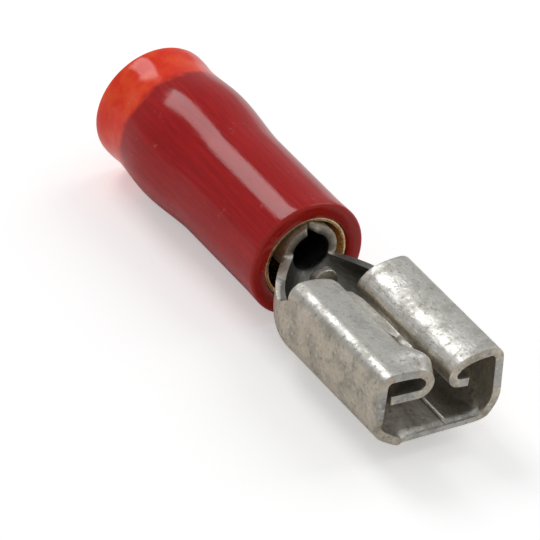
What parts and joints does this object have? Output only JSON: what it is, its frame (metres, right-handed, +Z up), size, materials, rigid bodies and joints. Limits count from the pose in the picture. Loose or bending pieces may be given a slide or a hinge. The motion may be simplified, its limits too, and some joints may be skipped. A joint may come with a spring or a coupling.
{
  "type": "insulated female spade terminal",
  "caption": "Crimp terminal with a rolled sheet-metal receptacle for a flat tab, a wire barrel and a red insulating sleeve.",
  "frame": {"origin": "middle of the part's length and width, on the surface that the insulator lies on", "axes": "+Y along the terminal from the tab mouth to the wire entry, +X to the right seen from the mouth, +Z up"},
  "size_m": [0.0058, 0.0226, 0.0057],
  "materials": {
    "nylon_red": "glossy translucent nylon",
    "brass": "drawn",
    "tin_plate": "matte tin plate over rolled sheet"
  },
  "bodies": {
    "root": {"insulator": "nylon_red", "support_sleeve": "brass", "terminal": "tin_plate"}
  },
  "joints": []
}
